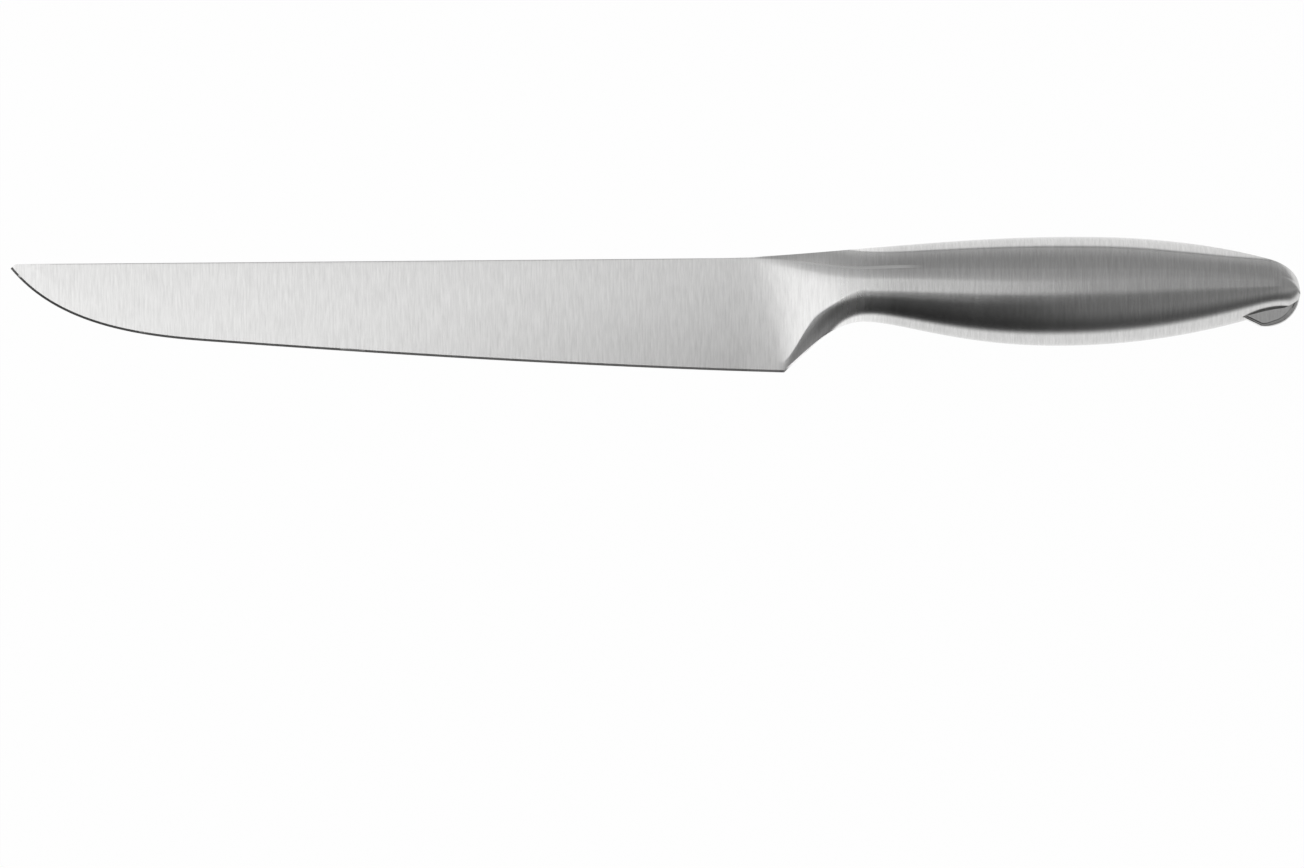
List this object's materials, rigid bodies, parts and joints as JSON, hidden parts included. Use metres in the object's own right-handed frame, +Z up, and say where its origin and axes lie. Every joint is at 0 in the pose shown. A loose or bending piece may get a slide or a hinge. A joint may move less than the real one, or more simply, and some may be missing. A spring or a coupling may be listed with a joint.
{
  "type": "carving knife",
  "caption": "All-steel carving knife with a narrow flat-ground blade, a forged bolster, a hollow swelling handle and a beaked finger stop at the butt.",
  "frame": {"origin": "middle of the bounding box, on the surface that the knife lies on", "axes": "+X along the knife from the point to the butt, +Y from the cutting edge to the spine, +Z up through its thickness"},
  "size_m": [0.3334, 0.0344, 0.0205],
  "materials": {
    "blade_steel": "fine grinding lines across the blade, satin bolster",
    "handle_steel": "satin",
    "weight_steel": "as turned"
  },
  "bodies": {
    "root": {"blade": "blade_steel", "handle_shell_left": "handle_steel", "handle_shell_right": "handle_steel", "butt_cap": "handle_steel", "balance_weight": "weight_steel"}
  },
  "joints": []
}
